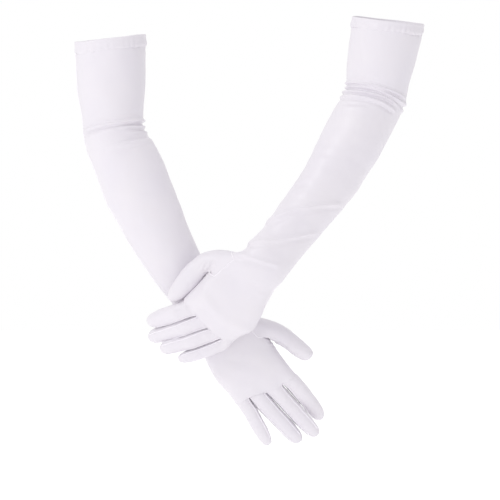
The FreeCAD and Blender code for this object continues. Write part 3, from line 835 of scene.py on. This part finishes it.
def shape_fabric(fabric, pose):
    """Moves the fabric's points along its normals to make folds, creases and gathers."""
    line = SleeveLine(pose)
    is_sleeve = fabric.of("sleeve_back", "sleeve_palm", "hand_back", "hand_palm", "thumb_base")
    sleeve = np.unique(fabric.quads[is_sleeve])
    points, normals = fabric.points[sleeve], fabric.normals[sleeve]
    length, angle = line.places(points)
    height = sum(rise * ripple(points, wave, seed) for rise, wave, seed in SLEEVE_RIPPLES)
    for joint, *crease in pose.size["creases"]:
        height += crease_height(points, normals, pose.elbow if joint == "elbow" else pose.wrist, *crease)
    height += knuckle_height(points, pose)
    # soft slanting drag lines, stronger towards the wrist
    slant = points @ unit([0.35, 0.1, 1.0])
    drag = np.sin(slant * TURN / DRAG_STEP + 1.6 * ripple(points, 60.0, 8))
    height += DRAG_HEIGHT * drag * eased((length - line.elbow) / 120)
    # gathers in the crotch of the thumb
    gap = points - pose.hand_point(*pose.size["gather"])
    along, across, deep = gap @ pose.palm_along, gap @ pose.across, gap @ pose.back
    reach = np.sqrt(along**2 * 1.6 + across**2 + (deep * 0.35) ** 2)
    fan = np.sin((along * 0.75 - across * 0.65) * TURN / GATHER_STEP)
    height += GATHER_HEIGHT * fan * np.exp(-((reach / GATHER_REACH) ** 2))
    # puckers and a groove below the hem
    height += PUCKER_HEIGHT * pucker(np.radians(angle), pose.side) * np.exp(-(length / PUCKER_REACH) ** 2)
    under_hem = pose.size["hem_height"] - HEM_OVERLAP_START
    height -= GROOVE_DEPTH * np.exp(-(((length - under_hem) / GROOVE_WIDTH) ** 2))
    fabric.points[sleeve] = points + normals * height[:, None]
    digits = np.setdiff1d(fabric.quads[fabric.part >= LABELS.index("thumb_base")], sleeve)
    points = fabric.points[digits]
    height = sum(rise * ripple(points, wave, seed) for rise, wave, seed in DIGIT_RIPPLES)
    fabric.points[digits] = points + fabric.normals[digits] * height[:, None]
    fabric.find_normals()
    return line


def knuckle_height(points, pose):
    """The back of the hand rises to the row of knuckles and falls away to the fingers."""
    gap = points - pose.wrist
    along, sideways, deep = gap @ pose.palm_along, gap @ pose.across, gap @ pose.back
    rise, crest, bow = pose.size["knuckles"]
    at = crest - bow * (sideways / 35) ** 2
    slope = np.where(along < at, eased((along - at + 46) / 46), eased((at + 30 - along) / 30))
    sharp = 0.35 * np.exp(-(((along - at) / 7) ** 2))
    on_back = eased((deep - 1) / 9)
    height = rise * (slope + sharp) * on_back * eased((42 - np.abs(sideways)) / 12)
    for f in FINGERS:
        spot = pose.root[f] + pose.back * 11
        height += 0.8 * np.exp(-((np.linalg.norm(points - spot, axis=1) / 8.5) ** 2)) * on_back
    return height


def build_hem(pose, materials):
    """The turned hem: a soft roll at the edge, puckered where it is stitched down."""
    height, radius = pose.size["hem_height"], pose.size["hem_radius"]
    # (out, down): over the edge, down the outside, under the lower edge and up the inside
    profile = [
        (-0.65, -0.1), (-0.1, 0.2), (0.3, 0.8), (0.4, 1.7), (0.15, 3.0), (0.25, height * 0.4),
        (0.6, height * 0.6), (0.75, height * 0.76), (0.45, height * 0.88), (-0.15, height * 0.97),
        (-0.6, height), (-0.9, height + 0.25), (-1.7, height - 0.5), (-1.8, height * 0.75),
        (-1.8, height * 0.5), (-1.7, height * 0.25), (-1.6, 1.4), (-1.2, 0.3),
    ]
    down = unit(pose.elbow - pose.opening)
    down = down / (down @ pose.hem_down)
    turn = turns(HEM_COUNT)
    side, back = pose.side_and_back(pose.hem_down)
    out = np.outer(np.cos(turn), side) + np.outer(np.sin(turn), back)
    gathers = pucker(turn, pose.side)
    slow = 0.5 * np.sin(turn * 3 + 0.7) + 0.5 * np.sin(turn * 5 + 2.1)
    rings = []
    for r, h in profile:
        low = eased(h / height) ** 2
        edge = 1 - eased(h / 4)
        wave = gathers * (0.10 + 0.42 * low) + slow * 0.25
        drop = h + low * (0.9 * slow + 0.5 * np.roll(gathers, 40)) + edge * 0.35 * slow
        rings.append(pose.opening + out * (radius + r + wave)[:, None] + np.outer(drop, down))
    points = np.concatenate(rings)
    here = np.arange(len(points))
    i, k = here // HEM_COUNT, here % HEM_COUNT
    j, m = (i + 1) % len(profile), (k + 1) % HEM_COUNT
    faces = np.stack([here, j * HEM_COUNT + k, j * HEM_COUNT + m, i * HEM_COUNT + m], axis=1)
    normals = smooth_normals(points, faces)
    if np.sum(normals[:HEM_COUNT * 8] * np.tile(out, (8, 1))) < 0:
        normals, faces = -normals, faces[:, ::-1]
    mesh = Mesh()
    mesh.add(points, faces, normals)
    return mesh.build(f"{pose.side}_hem", materials)


# ---- seams ----
def in_order(fabric, members):
    """The points of a seam one after another, following the fabric's edges."""
    inside = np.zeros(len(fabric.points), bool)
    inside[members] = True
    neighbours = {int(m): set() for m in members}
    for i in range(4):
        a, b = fabric.quads[:, i], fabric.quads[:, (i + 1) % 4]
        both = inside[a] & inside[b]
        for p, q in zip(a[both].tolist(), b[both].tolist()):
            neighbours[p].add(q)
            neighbours[q].add(p)
    longest = []
    for end in [m for m, near in neighbours.items() if len(near) == 1]:
        if end in longest:
            continue
        walk, seen = [end], {end}
        while True:
            ahead = [q for q in neighbours[walk[-1]] if q not in seen]
            if not ahead:
                break
            walk.append(ahead[0])
            seen.add(ahead[0])
        if len(walk) > len(longest):
            longest = walk
    return np.array(longest)


def sew(mesh, fabric, members, seam, direction, tapered=False):
    """A thread along a seam, laid in the given direction."""
    order = in_order(fabric, members)
    if (fabric.points[order[-1]] - fabric.points[order[0]]) @ direction < 0:
        order = order[::-1]
    mesh.add_cord(fabric.points[order], fabric.normals[order], seam, tapered)


def sew_round(mesh, fabric, members, pose):
    """A thread round the loop where the thumb is set in."""
    gap = fabric.points[members] - fabric.points[members].mean(axis=0)
    order = members[np.argsort(np.arctan2(gap @ pose.palm_along, gap @ pose.back))]
    order = np.concatenate([order, order[:1]])
    mesh.add_cord(fabric.points[order], fabric.normals[order], THUMB_SEAM)


# ---- materials ----
def set_inputs(node, values):
    for name, value in values.items():
        node.inputs[name].default_value = value


def add_node(tree, kind, inputs, **settings):
    node = tree.nodes.new(kind)
    for name, value in settings.items():
        setattr(node, name, value)
    set_inputs(node, inputs)
    return node


def link(tree, rows):
    for start, output, end, socket in rows:
        tree.links.new(start.outputs[output], end.inputs[socket])


def fabric_material(name, colour, roughness, sheen, weave, anisotropy):
    """Plain white cloth: a faint tint in soft patches and a fine weave in relief."""
    material = bpy.data.materials.new(name)
    material.use_nodes = True
    tree = material.node_tree
    shader = tree.nodes["Principled BSDF"]
    set_inputs(shader, {
        "Base Color": (*colour, 1), "Roughness": roughness, "Sheen Weight": sheen, "Sheen Roughness": 0.4,
        "Anisotropic": anisotropy,
    })
    place = add_node(tree, "ShaderNodeTexCoord", {})
    fine = add_node(tree, "ShaderNodeTexNoise", {"Scale": weave, "Detail": 3})
    soft = add_node(tree, "ShaderNodeTexNoise", {"Scale": 24, "Detail": 2})
    red, green, blue = colour
    shadow = (red * 0.965, green * 0.965, blue, 1)
    light = (*[min(1, c * 1.02) for c in colour], 1)
    tint = add_node(tree, "ShaderNodeMix", {"A": shadow, "B": light}, data_type="RGBA")
    bump = add_node(tree, "ShaderNodeBump", {"Strength": 0.16, "Distance": 0.0003})
    link(tree, [
        (place, "Object", fine, "Vector"), (place, "Object", soft, "Vector"),
        (soft, "Fac", tint, "Factor"), (tint, "Result", shader, "Base Color"),
        (fine, "Fac", bump, "Height"), (bump, "Normal", shader, "Normal"),
    ])
    return material


# ---- build ----
# the CAD nodes that each piece of the sleeve and hand stands for
STANDS_FOR = {
    "sleeve_back": ["upper_sleeve_back", "forearm_back"],
    "sleeve_palm": ["upper_sleeve_palm_side", "forearm_palm_side"],
    "sleeve_seam": ["upper_sleeve_outer_seam", "forearm_outer_seam"],
    "hand_back": ["hand_back"],
    "hand_palm": ["hand_palm_side"] + [f"fourchette_{web}" for web in WEB_COLUMNS],
    "hand_seam": ["hand_outer_seam"],
}
# columns beside which a thread runs along each digit: 1 and 3 on its back, 5 and 7 on its palm side
SEAM_COLUMNS = {
    "thumb": [], "index": [3, 5], "middle": [1, 3, 5, 7], "ring": [1, 3, 5, 7], "little": [1, 7],
}


def span(before, after, direction):
    """Where a bend starts and ends: past the first set of points, short of the second."""
    origin = before.mean(axis=0)
    start = (before @ direction).max()
    end = max((after @ direction).min(), start + SHORTEST_BEND)
    return [(origin + direction * (at - origin @ direction)) * MM for at in (start, end)]


def build_arm(pose, fabric, line, piece, materials):
    """Sleeve and hand: back, palm side and outer seam of each."""
    side = pose.side
    elbow_along = unit(unit(pose.elbow - pose.opening) + unit(pose.wrist - pose.elbow)) * ELBOW_BEND
    wrist_along = unit(unit(pose.wrist - pose.elbow) + pose.palm_along)
    before, after = pose.size["wrist_bend"]
    bends = {
        "sleeve": ("upper_sleeve", "forearm", pose.elbow - elbow_along, pose.elbow + elbow_along),
        "hand": ("forearm", "hand", pose.wrist - wrist_along * before, pose.wrist + wrist_along * after),
    }
    for part, (first, second, start, end) in bends.items():
        edge = fabric.shared(fabric.of(f"{part}_back"), fabric.of(f"{part}_palm"))
        _, angle = line.places(fabric.points[edge])
        seam = Mesh()
        sew(seam, fabric, edge[np.abs(angle) > 90], OUTER_SEAM, pose.palm_along)
        meshes = {"back": piece(f"{part}_back"), "palm": piece(f"{part}_palm"), "seam": seam}
        start, end = tuple(start * MM), tuple(end * MM)
        for name, mesh in meshes.items():
            obj = mesh.build(f"{side}_{part}_{name}", materials)
            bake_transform(obj)
            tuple(start)
            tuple(end)
            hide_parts(*[f"{side}_{node}" for node in STANDS_FOR[f"{part}_{name}"]])


def build_digit(pose, fabric, piece, digit, materials):
    """The base and the tip of a finger or thumb, with the threads along them."""
    base, tip = fabric.of(f"{digit}_base"), fabric.of(f"{digit}_tip")
    root = fabric.shared(fabric.of("hand_back", "hand_palm"), base)
    root_points, middle_points = fabric.points[root], fabric.points[fabric.shared(base, tip)]
    first = unit(pose.middle[digit] - pose.root[digit])
    second = unit(pose.tip[digit] - pose.middle[digit])
    parts = {
        "base": (base, first, f"{pose.side}_hand", *span(root_points, middle_points, first)),
        "tip": (tip, second, f"{pose.side}_{digit}_base",
                *span(middle_points, middle_points + second * DIGIT_TIP_BEND, second)),
    }
    for label, (members, direction, parent, start, end) in parts.items():
        mesh = piece(f"{digit}_{label}")
        if digit == "thumb" and label == "base":
            sew_round(mesh, fabric, root, pose)
        for column in SEAM_COLUMNS[digit]:
            one, other = (members & (fabric.column == k) for k in (column, column - 1))
            on = fabric.shared(one, other)
            if label == "tip":
                along = fabric.points[on] @ direction
                on = on[along < along.max() - SEAM_STOP]
            seam = FINGER_BACK_SEAM if column in (1, 3) else FINGER_PALM_SEAM
            sew(mesh, fabric, on, seam, direction, tapered=label == "tip")
        if label == "tip":
            end = end + second * DIGIT_TIP_MORE * MM
        obj = mesh.build(f"{pose.side}_{digit}_{label}", materials)
        tuple(start)
        tuple(end)
        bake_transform(obj)
        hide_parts(f"{pose.side}_{digit}_{label}")


def build_glove(side, materials):
    pose = Pose(side)
    fabric = Fabric(build_cage(pose), f"{side}_cage")
    line = shape_fabric(fabric, pose)

    def piece(label):
        mesh = Mesh()
        mesh.add_cloth(fabric.points, fabric.quads[fabric.of(label)], fabric.normals)
        return mesh

    hem = build_hem(pose, materials)
    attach(hem, f"{side}_upper_sleeve")
    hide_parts(*[f"{side}_hem_{x}" for x in ("band", "facing", "elastic")])
    build_arm(pose, fabric, line, piece, materials)
    for digit in ["thumb"] + FINGERS:
        build_digit(pose, fabric, piece, digit, materials)


satin = fabric_material("white_satin", (0.775, 0.742, 0.778), 0.40, 0.08, 2600, 0.4)
# the thread is paler than the satin: partly its own white, partly a painted highlight along the seams
thread = fabric_material("pale_thread_painted_highlight", (0.93, 0.90, 0.93), 0.6, 0.1, 4000, 0.0)
for side in ("right", "left"):
    build_glove(side, [satin, thread])

# ---- floor, light, camera, in metres ----
FLOOR_HALF = 6.0
FLOOR_DROP = 0.12  # the floor lies this far below the fingertips
KEY_OFFSET = Vector((-0.9, -1.2, 1.2))
KEY_SIZE, KEY_POWER = 0.5, 5.2
CAMERA_DISTANCE = 2.2
VIEW_WIDTH = 0.575  # width of the picture at the gloves

low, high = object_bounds()
centre = (low + high) / 2

floor_mesh = bpy.data.meshes.new("floor")
floor_corners = [
    (centre.x + x * FLOOR_HALF, centre.y + y * FLOOR_HALF, low.z - FLOOR_DROP)
    for x, y in ((-1, -1), (1, -1), (1, 1), (-1, 1))
]
floor_mesh.from_pydata(floor_corners, [], [(0, 1, 2, 3)])
floor = put("floor", floor_mesh)
paper = bpy.data.materials.new("paper")
paper.use_nodes = True
set_inputs(paper.node_tree.nodes["Principled BSDF"], {
    "Base Color": (0.93, 0.93, 0.93, 1), "Roughness": 0.9, "Emission Color": (1, 1, 1, 1),
    "Emission Strength": 0.25,
})
floor_mesh.materials.append(paper)

world = bpy.data.worlds.new("studio")
bpy.context.scene.world = world
world.use_nodes = True
tree = world.node_tree
backdrop = tree.nodes["Background"]
backdrop.inputs["Strength"].default_value = 1.0
# the studio is white, and a softer grey low on the right of the photographer
white, grey = (1, 1, 1, 1), (0.60, 0.59, 0.615, 1)
direction = add_node(tree, "ShaderNodeTexCoord", {})
toward = add_node(tree, "ShaderNodeVectorMath", {1: unit([0.75, -0.5, -0.35])}, operation="DOT_PRODUCT")
shade = add_node(tree, "ShaderNodeMapRange", {"From Min": -0.15, "From Max": 0.95})
walls = add_node(tree, "ShaderNodeMix", {"A": white, "B": grey}, data_type="RGBA")
link(tree, [
    (direction, "Generated", toward, 0), (toward, "Value", shade, "Value"),
    (shade, "Result", walls, "Factor"), (walls, "Result", backdrop, "Color"),
])

# one soft panel, up on the left of the photographer
key_data = bpy.data.lights.new("key", "AREA")
key_data.shape = "SQUARE"
key_data.size = KEY_SIZE
key_data.energy = KEY_POWER
key = put("key", key_data)
key.location = centre + KEY_OFFSET
key.rotation_euler = KEY_OFFSET.to_track_quat("Z", "Y").to_euler()

camera_data = bpy.data.cameras.new("camera")
camera = put("camera", camera_data)
camera.location = (0.161, -CAMERA_DISTANCE, -0.2438)
camera.rotation_euler = (math.pi / 2, 0, 0)
camera_data.sensor_width = 36
camera_data.lens = camera_data.sensor_width * CAMERA_DISTANCE / VIEW_WIDTH
bpy.context.scene.camera = camera
bpy.context.scene.view_settings.view_transform = "Standard"
